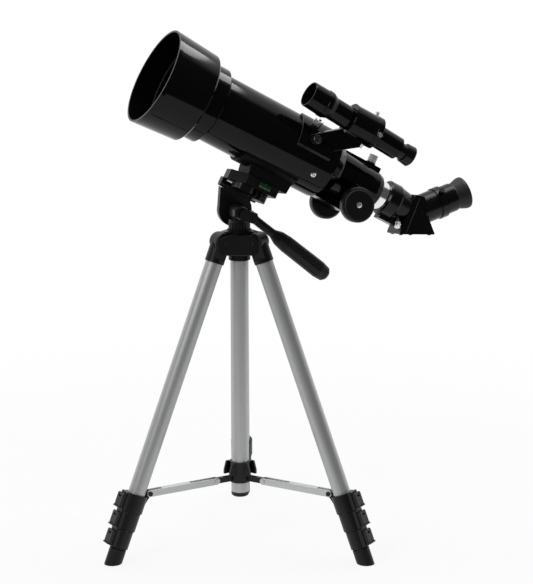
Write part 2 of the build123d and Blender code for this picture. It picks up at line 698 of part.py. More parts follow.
def make_platform():
    place = platform_frame()
    half = PLATFORM_WIDTH / 2
    low, high = PLATFORM_LOW, PLATFORM_LOW + PLATFORM_THICK
    corner_x, corner_y = NEAR_CORNER
    outline = [(PLATFORM_BACK, -half), (PLATFORM_BACK, half), (PLATFORM_FRONT + FAR_CORNER, half)]
    outline += [(PLATFORM_FRONT, half - FAR_CORNER), (PLATFORM_FRONT, corner_y), (corner_x, -half)]
    face = make_face(Polyline(*[(x, y, low) for x, y in outline], close=True))
    body = extrude(face, PLATFORM_THICK, dir=(0, 0, 1))
    body = fillet(body.edges().group_by(Axis.Z)[-1], 1.0)
    boss = fillet(block(*BOSS_SPAN_X, *BOSS_SPAN_Y, low - BOSS_DEPTH, low + 1).edges().filter_by(Axis.Z), 6.0)
    body += boss
    flip_y, flip_z = flip_place()
    axle = Pos(0, flip_y, flip_z)
    for e0 in (BRACKET_FRONT - FACE_GAP - EAR_LENGTH, BRACKET_BACK + FACE_GAP):
        e1 = e0 + EAR_LENGTH
        ear = block(e0, e1, flip_y - FLIP_BARREL, flip_y + FLIP_BARREL, flip_z, low + 1)
        body += ear + axle * rod(e0, e1, FLIP_BARREL)
    body += axle * rod(BRACKET_FRONT - 3, BRACKET_BACK + 3, FLIP_PIN)
    body -= Pos(SCREW_X, SCREW_Y, 0) * post(low - 1, high + 1, THREAD_RADIUS + 0.2)
    vial = Pos(VIAL_X, -half + 1.2, high - VIAL_RADIUS - 1.4)
    body -= vial * rod(-VIAL_LENGTH / 2 - SEAT_FIT, VIAL_LENGTH / 2 + SEAT_FIT, VIAL_RADIUS + SEAT_FIT)
    keep("platform", place * body)
    keep("bubble_level", place * vial * rod(-VIAL_LENGTH / 2, VIAL_LENGTH / 2, VIAL_RADIUS))
    knob = Rot(0, -90, 0) * knurled(KNOB_RADIUS, KNOB_LENGTH, 28, 1.0, Pos(0, 0, 0))
    screw = Pos(SCREW_X, SCREW_Y, low - KNOB_LENGTH - FACE_GAP) * knob
    screw += Pos(SCREW_X, SCREW_Y, 0) * post(low - 2, high + 6, THREAD_RADIUS)
    keep("camera_screw", place * screw)


# Telescope
def make_tube():
    place = scope_frame()
    rim, tail, wall = SHIELD_RIM, SHIELD_TAIL, SHIELD_WALL
    grip = CELL_RADIUS + SEAT_FIT
    front = SHIELD_FRONT
    outline = [(front, rim - wall), (front, rim), (front + RIM_LAND, rim)]
    outline += [(SHIELD_END - 2, tail), (SHIELD_END, tail - 2), (SHIELD_END, grip)]
    outline += [(SHIELD_END - SHIELD_LIP, grip), (SHIELD_END - SHIELD_LIP, tail - wall)]
    shield = turned(outline)
    keep("dew_shield", place * shield)
    seat = LENS_STATION + CROWN_THICK + FLINT_THICK
    sleeve_r = TUBE_RADIUS - TUBE_WALL - SEAT_FIT
    front, back, bore = SHIELD_END - CELL_HIDDEN, CELL_END + CELL_SPIGOT, LENS_RADIUS + SEAT_FIT
    outline = [(front, bore), (front, CELL_RADIUS - 1), (front + 1, CELL_RADIUS)]
    outline += [(CELL_END - 3, CELL_RADIUS), (CELL_END, CELL_RADIUS - 4), (CELL_END, sleeve_r)]
    ledge = LENS_RADIUS - LENS_LEDGE
    outline += [(back, sleeve_r), (back, ledge), (seat, ledge), (seat, bore)]
    cell = turned(outline)
    keep("lens_cell", place * cell)
    x = LENS_STATION
    rings = [LENS_RADIUS * (LENS_RINGS - k) / LENS_RINGS for k in range(LENS_RINGS + 1)]
    bulge = [(x + CROWN_SAG * (r / LENS_RADIUS) ** 2, r) for r in rings]
    crown = turned([(x + CROWN_THICK, 0), (x + CROWN_THICK, LENS_RADIUS)] + bulge)
    y = x + CROWN_THICK + SEAT_FIT
    hollow = [(seat - FLINT_SAG + FLINT_SAG * (r / LENS_RADIUS) ** 2, r) for r in rings]
    flint = turned([(y, 0), (y, LENS_RADIUS)] + hollow)
    keep("objective_lenses", place * crown, place * flint)
    keep("main_tube", place * pipe(CELL_END, TUBE_END, TUBE_RADIUS, TUBE_RADIUS - TUBE_WALL))
    root = -TUBE_RADIUS + 4
    outline = [(FOOT_START, root), (FOOT_START + FOOT_RAKE, PLATFORM_TOP), (FOOT_END - 2, PLATFORM_TOP)]
    shoe = plate_xz(outline + [(FOOT_END, root)], FOOT_WIDTH / 2)
    flange = rod(FLANGE_START, FOOT_END + 1, TUBE_RADIUS + FLANGE_THICK)
    shoe += flange & block(FLANGE_START, FOOT_END + 1, -FLANGE_HALF, FLANGE_HALF, -60, 0)
    shoe -= rod(CELL_END, TUBE_END, TUBE_RADIUS + SEAT_FIT)
    hole = post(PLATFORM_TOP - 1, PLATFORM_TOP + 7, THREAD_RADIUS + 0.1)
    shoe -= Pos(SCREW_X + TILT_TO_FRONT, SCREW_Y, 0) * hole
    keep("mounting_foot", place * shoe)


RACK_MODULE = RACK_PITCH / pi
PINION_PITCH = PINION_TEETH * RACK_MODULE / 2
RACK_LINE = -DRAW_RADIUS - RACK_DEPTH
PINION_HEIGHT = RACK_LINE - PINION_PITCH
TOOTH_SHARE = 0.40
TOOTH_ADDENDUM = 0.65
TOOTH_ROOT = 1.0
PRESSURE = radians(20)


def rack_teeth():
    """Straight teeth under the draw tube, one centred over the pinion."""
    half_pitch = RACK_PITCH * TOOTH_SHARE / 2
    low, high = RACK_LINE - TOOTH_ADDENDUM, RACK_LINE + TOOTH_ROOT
    lean = sin(PRESSURE) / cos(PRESSURE)
    narrow, wide = half_pitch - TOOTH_ADDENDUM * lean, half_pitch + TOOTH_ROOT * lean
    first = int((RACK_START - PINION_STATION) / RACK_PITCH)
    last = int((RACK_STOP - PINION_STATION) / RACK_PITCH)
    bar = block(RACK_START - 1, RACK_STOP + 1, -RACK_HALF, RACK_HALF, high - 0.1, -DRAW_RADIUS + 1.0)
    for k in range(first, last + 1):
        x = PINION_STATION + k * RACK_PITCH
        outline = [(x - narrow, low), (x + narrow, low), (x + wide, high), (x - wide, high)]
        bar += plate_xz(outline, RACK_HALF)
    return bar


def pinion_teeth():
    base = PINION_PITCH * cos(PRESSURE)
    tip, root = PINION_PITCH + TOOTH_ADDENDUM, PINION_PITCH - TOOTH_ROOT
    roll = sqrt((PINION_PITCH / base) ** 2 - 1)
    at_pitch = roll - atan2(roll, 1)
    half = RACK_PITCH * TOOTH_SHARE / 2 / PINION_PITCH
    flank = []
    for k in range(5):
        r = base + (tip - base) * k / 4
        t = sqrt(max((r / base) ** 2 - 1, 0))
        flank.append((r, half + at_pitch - (t - atan2(t, 1))))
    tooth = [(root - 0.6, flank[0][1])] + flank
    tooth += [(r, -a) for r, a in reversed(tooth)]
    outline = [(r * sin(a), r * cos(a)) for r, a in tooth]
    gear = pin_y(0, 0, -RACK_HALF, RACK_HALF, root)
    for k in range(PINION_TEETH):
        gear += Rot(0, (k + 0.5) * 360 / PINION_TEETH, 0) * plate_xz(outline, RACK_HALF)
    return gear


def make_focuser():
    place = scope_frame()
    bore = DRAW_RADIUS + FACE_GAP
    sleeve_r = TUBE_RADIUS - TUBE_WALL - SEAT_FIT
    ring, big, tail, nose = FOCUSER_RING, FOCUSER_RADIUS, FOCUSER_TAIL, FOCUSER_NOSE
    outline = [(TUBE_END - FOCUSER_SPIGOT, bore), (TUBE_END - FOCUSER_SPIGOT, sleeve_r), (TUBE_END, sleeve_r)]
    outline += [(TUBE_END, TUBE_RADIUS - 0.4), (TUBE_END + 3, TUBE_RADIUS - 0.6)]
    outline += [(ring, big + 5.0), (ring + 1.5, big + 1.5), (ring + 4, big), (tail - 8, nose)]
    outline += [(tail - 2.5, nose - 2.0), (tail, nose - 4.6), (tail, bore)]
    shell = turned(outline)
    hump = pin_y(PINION_STATION, PINION_HEIGHT, -HUMP_HALF, HUMP_HALF, HUMP_RADIUS)
    x0, x1, side = PINION_STATION - HUMP_RADIUS, PINION_STATION + HUMP_RADIUS, HUMP_HALF - 4
    hump += block(x0, x1, -side, side, PINION_HEIGHT, -8)
    rail = block(FOCUSER_RING + 5, FOCUSER_TAIL - 8, -RAIL_HALF, RAIL_HALF, RAIL_TOP - RAIL_DEPTH, RAIL_TOP)
    outline = [(TUBE_END + 4, -TUBE_RADIUS + 3), (PINION_STATION, PINION_HEIGHT - HUMP_RADIUS)]
    keel = plate_xz(outline + [(PINION_STATION, -20), (TUBE_END + 4, -20)], KEEL_HALF)
    shell = shell + rail + hump + keel
    shell -= rod(TUBE_END - 20, FOCUSER_TAIL + 10, bore)
    shell -= rod(TUBE_END - 20, TUBE_END, sleeve_r - 2)
    half = RACK_HALF + 0.4
    slot_low = RACK_LINE - TOOTH_ADDENDUM - 0.5
    slot = block(TUBE_END - 20, FOCUSER_TAIL + 10, -half, half, slot_low, -8)
    slot += pin_y(PINION_STATION, PINION_HEIGHT, -half, half, PINION_PITCH + TOOTH_ADDENDUM + 0.5)
    shell -= slot
    shell -= pin_y(PINION_STATION, PINION_HEIGHT, -60, 60, SHAFT_RADIUS + RUNNING_FIT)
    shell -= Pos(LOCK_STATION, 0, 0) * post(0, RAIL_TOP + 1, LOCK_STEM + RUNNING_FIT)
    keep("focuser_housing", place * shell)
    tube = pipe(DRAW_START, DRAW_END, DRAW_RADIUS, DRAW_RADIUS - DRAW_WALL)
    rack = rack_teeth() - rod(0, 500, DRAW_RADIUS - 0.4)
    keep("drawtube", place * (tube + rack))
    at = Pos(PINION_STATION, 0, PINION_HEIGHT)
    shaft = pin_y(0, 0, -WHEEL_FACE + 0.6, WHEEL_FACE - 0.6, SHAFT_RADIUS)
    keep("focus_pinion", place * at * (pinion_teeth() + shaft))
    wheels = []
    r, w = WHEEL_RADIUS, WHEEL_WIDTH
    outline = [(0, 0), (0, r - 2.5), (1.5, r - 0.5), (3, r), (w - 2.5, r), (w - 0.6, r - 0.8)]
    outline += [(w, r - 2), (w - 1, r - 4), (w - 1, 0)]
    for side in (-1, 1):
        wheel = Rot(0, 0, 90) * turned(outline)
        wheel = Pos(0, WHEEL_FACE - WHEEL_WIDTH, 0) * wheel
        wheel -= pin_y(0, 0, 0, 60, SHAFT_RADIUS + RUNNING_FIT / 2)
        wheels.append(place * at * Rot(0, 0, 0 if side > 0 else 180) * wheel)
    keep("focus_wheels", *wheels)
    knob = Rot(0, -90, 0) * knurled(LOCK_KNOB, LOCK_KNOB_LENGTH, 22, 0.8, Pos(0, 0, 0))
    screw = Pos(LOCK_STATION, 0, RAIL_TOP + 2.0) * knob
    screw += Pos(LOCK_STATION, 0, 0) * post(DRAW_RADIUS + FACE_GAP + 0.1, RAIL_TOP + 3, LOCK_STEM)
    keep("focus_lock_screw", place * screw)


def make_diagonal():
    place = scope_frame()
    stop = ADAPTER_END
    seat, bore = DRAW_RADIUS + SEAT_FIT, NOSE_RADIUS + RUNNING_FIT
    lip = DRAW_END - ADAPTER_GRIP
    outline = [(lip, seat), (lip, ADAPTER_RADIUS - 2), (lip + 2, ADAPTER_RADIUS)]
    outline += [(ADAPTER_STEP - 2, ADAPTER_RADIUS), (ADAPTER_STEP, ADAPTER_TAPER)]
    outline += [(stop, ADAPTER_END_RADIUS), (stop, bore), (DRAW_END, bore), (DRAW_END, seat)]
    ring = turned(outline)
    half = ADAPTER_BOSS_HALF
    boss = block(lip + 4, stop - 2, -half, half, -ADAPTER_BOSS, -NOSE_RADIUS)
    ring += boss - rod(0, DRAW_END, seat) - rod(0, stop + 1, bore)
    grip = Pos(THUMB_STATION, 0, 0) * Rot(THUMB_ROLL, 0, 0)
    ring -= grip * post(0, ADAPTER_BOSS + THUMB_BASE, THUMB_STEM + RUNNING_FIT)
    keep("drawtube_adapter", place * ring)
    thumb = Rot(0, -90, 0) * knurled(THUMB_HEAD, THUMB_LENGTH, 16, 0.7, Pos(0, 0, 0))
    thumb = Pos(0, 0, THUMB_BASE) * thumb + post(NOSE_RADIUS + FACE_GAP, THUMB_BASE + 2, THUMB_STEM)
    keep("adapter_thumbscrew", place * grip * thumb)

    start = stop + FACE_GAP + 0.4
    half = PRISM_WIDTH / 2
    bend = Pos(BEND_STATION, 0, 0) * Rot(0, -BEND_ANGLE, 0)
    toe = [(BEND_STATION + x, z) for x, z in PRISM_TOE]
    back = [(BEND_STATION + x, z) for x, z in PRISM_BACK]
    box = plate_xz([(start, PRISM_TOP), (start, -PRISM_LIP)] + toe + back, half)
    body = box + rod(DRAW_END - NOSE_LENGTH, start + 1, NOSE_RADIUS)
    body += bend * rod(8, HOLDER_LENGTH, HOLDER_RADIUS)
    body += bend * rod(HOLDER_LENGTH - HOLDER_COLLAR, HOLDER_LENGTH, HOLDER_RADIUS + HOLDER_COLLAR_STEP)
    body -= rod(0, start + PRISM_WALL + 1, NOSE_RADIUS - NOSE_WALL)
    body -= bend * rod(HOLDER_SEAT, HOLDER_LENGTH + 1, NOSE_RADIUS + RUNNING_FIT)
    body -= bend * rod(0, HOLDER_SEAT + 1, PRISM_WINDOW)
    wall = start + PRISM_WALL
    inside = half - PRISM_WALL
    cell = [(wall, PRISM_CELL_SPAN[0]), (wall, PRISM_CELL_SPAN[1])]
    cell += [(BEND_STATION + x, z) for x, z in PRISM_CELL]
    body -= plate_xz(cell, inside)
    clamp = bend * Pos(HOLDER_LENGTH - HOLDER_COLLAR / 2, 0, 0) * Rot(HOLDER_THUMB_ROLL, 0, 0)
    body -= clamp * post(0, HOLDER_RADIUS + HOLDER_COLLAR, THUMB_STEM + RUNNING_FIT)
    keep("diagonal_body", place * body)
    outline = make_face(Polyline(*[(x, 0, z) for x, z in cell], close=True))
    outline = offset(outline, -PRISM_CLEAR, kind=Kind.INTERSECTION)
    glass = extrude(outline, inside - SEAT_FIT, dir=(0, 1, 0), both=True)
    glass -= bend * rod(HOLDER_SEAT - FACE_GAP, HOLDER_LENGTH, NOSE_RADIUS + 1)
    keep("diagonal_prism", place * glass)
    set_screw = Rot(0, -90, 0) * knurled(HOLDER_THUMB, HOLDER_THUMB_LENGTH, 16, 0.7, Pos(0, 0, 0))
    outside = HOLDER_RADIUS + HOLDER_COLLAR_STEP + 1.0
    set_screw = Pos(0, 0, outside) * set_screw
    set_screw += post(NOSE_RADIUS + FACE_GAP, outside + 1, THUMB_STEM)
    keep("eyepiece_thumbscrew", place * clamp * set_screw)

    a = HOLDER_LENGTH + FACE_GAP
    b = a + EYEPIECE_LENGTH - EYECUP_LENGTH + 3
    root, neck, bore = b - EYEPIECE_NECK_LENGTH, EYEPIECE_NECK, EYEPIECE_BORE
    glass, stop, back = EYE_LENS_RADIUS, EYE_LENS_SEAT, b - EYE_LENS_SETBACK
    outline = [(HOLDER_SEAT + 2, bore), (HOLDER_SEAT + 2, NOSE_RADIUS), (a, NOSE_RADIUS)]
    outline += [(a, EYEPIECE_RADIUS - 0.6), (a + 1, EYEPIECE_RADIUS), (root, EYEPIECE_RADIUS)]
    outline += [(root, neck), (b, neck), (b, glass), (back, glass)]
    outline += [(back, stop), (back - 2, stop), (back - 2, bore)]
    eye = turned(outline)
    keep("eyepiece_body", place * bend * eye)
    keep("eyepiece_lens", place * bend * rod(back, b - 1.5, glass - SEAT_FIT))
    c = root + SEAT_FIT
    d, rim, waist = c + EYECUP_LENGTH, EYECUP_RADIUS, EYECUP_ROOT
    throat = EYECUP_BORE
    outline = [(c, neck + SEAT_FIT), (c, waist), (c + 3, waist - 0.4), (d - 3, rim), (d, rim), (d, rim - 2)]
    outline += [(b + 2, throat + 1.2), (b + 2, throat)]
    outline += [(b + SEAT_FIT, throat), (b + SEAT_FIT, neck + SEAT_FIT)]
    cup = turned(outline)
    keep("eyecup", place * bend * cup)


def make_finder():
    roll = scope_frame() * Rot(FINDER_ROLL, 0, 0)
    pivot = FINDER_RING_START + 2
    lean = Pos(pivot, 0, FINDER_DISTANCE) * Rot(0, FINDER_PITCH, 0) * Pos(-pivot, 0, 0)
    place = roll * lean
    hood, tube, wall = FINDER_HOOD, FINDER_TUBE, FINDER_WALL
    f, s, t = FINDER_FRONT, FINDER_STEP, FINDER_TAIL
    mouth = hood - wall - 0.6
    taper, stop = s + FINDER_TAPER, FINDER_STOP
    outline = [(f, mouth), (f, hood - 1), (f + 1, hood - 0.6), (s, hood), (taper, tube), (t, tube)]
    outline += [(t, tube - wall), (taper, tube - wall), (taper - 3, stop), (s, stop), (s, mouth)]
    body = turned(outline)
    keep("finder_tube", place * body)
    keep("finder_objective", place * rod(s - FINDER_GLASS, s, mouth - SEAT_FIT))
    e, end = t - 8, t + FINDER_EYE_LENGTH
    barrel, grip, cup, bore = tube - wall - RUNNING_FIT, FINDER_BARREL, FINDER_CUP, FINDER_EYE_BORE
    outline = [(e, bore), (e, barrel), (t + FACE_GAP, barrel), (t + FACE_GAP, grip), (end - 12, grip)]
    outline += [(end - 11, cup - 0.8), (end - 1, cup), (end, cup - 0.8), (end, bore + 2)]
    outline += [(end - 4, bore - 1), (end - 9, bore - 1), (end - 9, bore)]
    eye = turned(outline)
    keep("finder_eyepiece", place * eye)
    top = TUBE_RADIUS + SADDLE_THICK
    scope = scope_frame()
    saddle_turn = Rot(SADDLE_ROLL, 0, 0)
    saddle = pipe(SADDLE_START, SADDLE_END, top, TUBE_RADIUS + SEAT_FIT)
    saddle = saddle & block(SADDLE_START - 1, SADDLE_END + 1, -SADDLE_HALF, SADDLE_HALF, 0, top + 1)
    r0, r1 = FINDER_RING_START, FINDER_RING_END
    (near, low), (under, high) = STALK_ROOT, STALK_TIP
    outline = [(STALK_START, near), (SADDLE_END - 6, low), (STALK_END, under), (STALK_END, high), (r0, high)]
    stalk = Rot(-SCOPE_ROLL, 0, 0) * Pos(0, STALK_Y, 0) * plate_xz(outline, STALK_HALF)
    stalk -= rod(CELL_END, TUBE_END + FOCUSER_LENGTH, TUBE_RADIUS + SEAT_FIT)
    ring = pipe(r0, r1, FINDER_RING, FINDER_RING - RING_WALL)
    ring += pipe(r0, r0 + RING_COLLAR, FINDER_RING, tube + FACE_GAP)
    finder_turn = Rot(FINDER_ROLL, 0, 0)
    bracket = saddle_turn * saddle + stalk + finder_turn * Pos(0, 0, FINDER_DISTANCE) * ring
    bore = rod(r0 + RING_COLLAR, r1 + 1, FINDER_RING - RING_WALL)
    bracket -= finder_turn * Pos(0, 0, FINDER_DISTANCE) * bore
    screws = []
    for angle in ALIGN_ANGLES:
        spot = finder_turn * Pos(r1 - ALIGN_SETBACK, 0, FINDER_DISTANCE) * Rot(angle, 0, 0)
        bracket -= spot * post(tube - 3, FINDER_RING + 1, ALIGN_STEM + RUNNING_FIT)
        screw = post(tube - 3, FINDER_RING + 2, ALIGN_STEM)
        screw += Pos(0, 0, FINDER_RING + 1) * post(0, ALIGN_LENGTH, ALIGN_HEAD)
        screws.append(spot * screw - finder_turn * lean * rod(f, t, tube + SEAT_FIT))
    for angle in (NUT_ANGLE, -NUT_ANGLE):
        spot = saddle_turn * Pos(NUT_STATION, 0, 0) * Rot(angle, 0, 0)
        bracket -= spot * post(TUBE_RADIUS - 1, top + 1, NUT_STUD + RUNNING_FIT)
        nut = Rot(0, -90, 0) * knurled(NUT_RADIUS, NUT_LENGTH, 20, 0.8, Pos(0, 0, 0))
        stud = post(TUBE_RADIUS + SEAT_FIT, top + NUT_LENGTH + 2, NUT_STUD)
        screws.append(spot * (Pos(0, 0, top + FACE_GAP) * nut + stud))
    keep("finder_bracket", scope * bracket)
    keep("finder_fasteners", *[scope * piece for piece in screws])


make_legs()
make_spreader()
make_column()
make_neck()
make_bracket()
make_handle()
make_platform()
make_tube()
make_focuser()
make_diagonal()
make_finder()

os.makedirs("parts", exist_ok=True)
for node, shape in PARTS.items():
    export_step(shape, f"parts/{node}.step")
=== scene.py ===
import bpy
import bmesh
import math
from mathutils import Matrix, Vector


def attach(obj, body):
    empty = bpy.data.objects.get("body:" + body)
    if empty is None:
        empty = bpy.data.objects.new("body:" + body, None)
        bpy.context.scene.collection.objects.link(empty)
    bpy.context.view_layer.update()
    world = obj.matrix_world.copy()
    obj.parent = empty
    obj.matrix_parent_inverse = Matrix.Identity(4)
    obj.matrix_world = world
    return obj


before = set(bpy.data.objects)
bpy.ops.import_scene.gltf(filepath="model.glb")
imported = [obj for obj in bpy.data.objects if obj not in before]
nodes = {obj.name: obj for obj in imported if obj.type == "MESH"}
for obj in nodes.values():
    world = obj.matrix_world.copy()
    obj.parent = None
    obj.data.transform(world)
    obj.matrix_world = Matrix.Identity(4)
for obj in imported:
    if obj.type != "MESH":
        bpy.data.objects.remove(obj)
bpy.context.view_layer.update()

MM = 0.001

# Layout of the model, in millimetres and degrees
PAN = 18.9
ALTITUDE = 28.8
SCOPE_ROLL = -8.0
TILT_HEIGHT = 396.0
TILT_TO_FRONT = 158.6
TILT_TO_AXIS = 92.5
SCOPE_OFFSET = 9.0
LEG_AZIMUTHS = {"a": 210.0, "b": 330.0, "c": 90.0}
LEG_SPREAD = 21.63
LEG_REACH = 390.9
PIVOT_RADIUS = 24.0
LEG_TUBE_RADIUS = 10.0
TUBE_MARGIN = 0.04
SOCKET_END = 25.0
LOCK_TOP = 306.0
LOCK_PITCH = 22.0
TUBE_RADIUS = 40.0
FOCUS_STATION = 269.5
FOCUS_DROP = -29.775
FINDER_ROLL = 40.0
FINDER_DISTANCE = 70.3
FINDER_PITCH = 3.5
FINDER_PIVOT = 217.0
SHARP_ANGLE = 40.0

# Small pieces, in millimetres and degrees
# A ring is its start, end, inner and outer radius and broken edge, a screw head its radius and height
TILT_WASHER = (9.15, 10.35, 4.2, 8.2, 0.3)
VIAL_PLACE = (5.5, -21.8, 35.0)
VIAL_MARKS = (-2.6, 2.6)
VIAL_LINE_HALF = 0.25
VIAL_LINE_SECTION = (3.5, 3.68, 0.05)
BUBBLE_HALF_LENGTH = 2.3
BUBBLE_RADIUS = 1.2
BUBBLE_OFFSET = (0, -1.6, 2.1)
TUBE_SCREW_STATION = 207.9
TUBE_SCREW_ROLLS = (121.0, 241.0, 1.0)
TUBE_SCREW_HEAD = (3.1, 1.7)
SCREW_SINK = 0.1
RETAINER_OUTLINE = [(55.2, 34.8), (55.2, 32.9), (56.0, 32.2), (57.4, 32.2), (60.0, 33.6), (60.0, 34.8)]
SHIELD_STEP_OUTLINE = [(23.4, 52.95), (23.6, 51.7), (24.8, 51.7), (25.0, 52.9)]
RIDGE_COUNT = 4
RIDGE_START = 46.0
RIDGE_PITCH = 2.2
RIDGE_OUTLINE = [(0, 34.9), (0.5, 33.9), (1.1, 33.9), (1.6, 34.9)]
WHEEL_FACE = 48.2
WHEEL_SCREW_HEAD = (3.3, 1.7)
LOCK_STATION = 283.0
LOCK_WASHER = (28.05, 29.9, 2.3, 5.9, 0.4)
COVER_TOE = Vector((348.0, 0, -32.8))
COVER_HEEL = Vector((388.6, 0, -14.4))
COVER_HALF_WIDTH = 17.0
COVER_SCREW_OFFSET = 11.0
COVER_SCREW_SHARES = (0.08, 0.36, 0.92)
COVER_SCREW_HEAD = (2.3, 1.4)
SEAM_TOP = (352.4, 17.0)
SEAM_FOOT = (354.2, -28.5)
SEAM_RADIUS = 0.35
HOOD_RING = (178.0, 183.0, 15.6, 16.3, 0.3)
FINDER_BANDS = ((215.2, 217.6), (247.0, 253.8))
BAND_SECTION = (18.4, 19.1, 0.3)
NUT_STATION = 189.5
NUT_ROLL = 72.0
NUT_SEAT = 43.0
NUT_RIM = (7.2, 7.9, 3.3, 5.0, 0.2)
NUT_TOP = 8.9
NUT_STUD = (2.5, 1.2)
NEAR_NUT_SIDE = -38.0
NEAR_NUT_END = 205.0
SADDLE_FRONT = 171.2
SADDLE_BACK = 215.8
SADDLE_RADIUS = 42.9
SADDLE_ROLLS = (23.0, 87.0)
STALK_SIDE = -35.9
STALK_FOOT = (182, 0, 22)
STALK_TOP = (215, 0, 46)
STALK_LOW = ((210, 0, 14), (244, 0, 37))
BEAD_RADIUS = 0.4


def turn(degrees, axis):
    return Matrix.Rotation(math.radians(degrees), 4, axis)


def shift(x, y, z):
    return Matrix.Translation((x, y, z))


# Frames in millimetres: X runs back along the telescope, -Y is the side towards the camera
HEAD = shift(0, 0, TILT_HEIGHT) @ turn(PAN, "Z") @ turn(ALTITUDE, "Y")
SCOPE = HEAD @ shift(-TILT_TO_FRONT, SCOPE_OFFSET, TILT_TO_AXIS) @ turn(SCOPE_ROLL, "X")
PLATFORM = SCOPE @ shift(TILT_TO_FRONT, 0, -TILT_TO_AXIS)
RING = SCOPE @ turn(FINDER_ROLL, "X") @ shift(0, 0, FINDER_DISTANCE)
FINDER = RING @ shift(FINDER_PIVOT, 0, 0) @ turn(FINDER_PITCH, "Y") @ shift(-FINDER_PIVOT, 0, 0)
TO_NEAR = turn(-90, "Z")
TO_FAR = turn(90, "Z")
TO_UP = turn(-90, "Y")


def leg_frame(name):
    """Local Z runs up the leg to its pivot, local X points outward."""
    height = LEG_REACH * math.cos(math.radians(LEG_SPREAD))
    return turn(LEG_AZIMUTHS[name], "Z") @ shift(PIVOT_RADIUS, 0, height) @ turn(-LEG_SPREAD, "Y")


# Materials, where noise lies mostly between these two values
NOISE_LOW = 0.3
NOISE_HIGH = 0.7


def new_material(name):
    material = bpy.data.materials.new(name)
    material.use_nodes = True
    tree = material.node_tree
    return material, tree, tree.nodes["Principled BSDF"]


def noise(tree, scale, detail=3.0, stretch=None, frame_matrix=None):
    """Noise in the object's own space, stretched along the local Z of frame_matrix when given."""
    out = tree.nodes.new("ShaderNodeTexCoord").outputs["Object"]
    if frame_matrix is not None:
        mapping = tree.nodes.new("ShaderNodeMapping")
        mapping.inputs["Rotation"].default_value = frame_matrix.to_3x3().inverted().to_euler()
        tree.links.new(out, mapping.inputs["Vector"])
        out = mapping.outputs["Vector"]
    if stretch is not None:
        squeeze = tree.nodes.new("ShaderNodeMapping")
        squeeze.inputs["Scale"].default_value = stretch
        tree.links.new(out, squeeze.inputs["Vector"])
        out = squeeze.outputs["Vector"]
    texture = tree.nodes.new("ShaderNodeTexNoise")
    texture.inputs["Scale"].default_value = scale
    texture.inputs["Detail"].default_value = detail
    tree.links.new(out, texture.inputs["Vector"])
    return texture.outputs["Fac"]


def ramp(tree, value, low, high):
    """Maps the middle of a 0 to 1 value onto a range of colours."""
    node = tree.nodes.new("ShaderNodeValToRGB")
    node.color_ramp.elements[0].position = NOISE_LOW
    node.color_ramp.elements[1].position = NOISE_HIGH
    node.color_ramp.elements[0].color = (*low, 1)
    node.color_ramp.elements[1].color = (*high, 1)
    tree.links.new(value, node.inputs["Fac"])
    return node.outputs["Color"]


def span(tree, value, low, high):
    """Maps the middle of a 0 to 1 value onto a range of numbers."""
    node = tree.nodes.new("ShaderNodeMapRange")
    node.inputs["From Min"].default_value = NOISE_LOW
    node.inputs["From Max"].default_value = NOISE_HIGH
    node.inputs["To Min"].default_value = low
    node.inputs["To Max"].default_value = high
    tree.links.new(value, node.inputs["Value"])
    return node.outputs["Result"]


def bump(tree, shader, value, strength, depth):
    node = tree.nodes.new("ShaderNodeBump")
    node.inputs["Strength"].default_value = strength
    node.inputs["Distance"].default_value = depth
    tree.links.new(value, node.inputs["Height"])
    tree.links.new(node.outputs["Normal"], shader.inputs["Normal"])


def plastic(name, dark, light, rough, grain, strength, shine):
    """Moulded or painted black: fine grain in the surface, slow drift in tone and gloss."""
    material, tree, shader = new_material(name)
    slow = noise(tree, 14.0, 2.0)
    fine = noise(tree, grain, 2.0)
    tone = ramp(tree, slow, (dark, dark, dark * 1.08), (light, light, light * 1.08))
    tree.links.new(tone, shader.inputs["Base Color"])
    tree.links.new(span(tree, slow, rough[0], rough[1]), shader.inputs["Roughness"])
    shader.inputs["Specular IOR Level"].default_value = shine
    bump(tree, shader, fine, strength, 0.0002)
    return material


def drawn_aluminium(name, low, high, frame_matrix):
    """Satin anodised tube with fine lines drawn along its length."""
    material, tree, shader = new_material(name)
    lines = noise(tree, 1.0, 4.0, (1400.0, 1400.0, 7.0), frame_matrix)
    slow = noise(tree, 9.0, 2.0)
    tree.links.new(ramp(tree, lines, (low, low * 1.01, low * 1.02), (high, high * 1.01, high * 1.02)),
                   shader.inputs["Base Color"])
    tree.links.new(span(tree, slow, 0.44, 0.50), shader.inputs["Roughness"])
    shader.inputs["Metallic"].default_value = 0.75
    bump(tree, shader, lines, 0.05, 0.0002)
    return material


def polished(name, low, high, rough, metal=1.0):
    """Plated metal with a faint cloudiness."""
    material, tree, shader = new_material(name)
    slow = noise(tree, 60.0, 3.0)
    tree.links.new(ramp(tree, slow, low, high), shader.inputs["Base Color"])
    tree.links.new(span(tree, slow, rough[0], rough[1]), shader.inputs["Roughness"])
    shader.inputs["Metallic"].default_value = metal
    return material


def glass(name, low, high, rough, transmission):
    """Clear or tinted glass with a slight drift in tint."""
    material, tree, shader = new_material(name)
    slow = noise(tree, 25.0, 2.0)
    tree.links.new(ramp(tree, slow, low, high), shader.inputs["Base Color"])
    tree.links.new(span(tree, slow, rough[0], rough[1]), shader.inputs["Roughness"])
    shader.inputs["Transmission Weight"].default_value = transmission
    shader.inputs["IOR"].default_value = 1.5
    return material


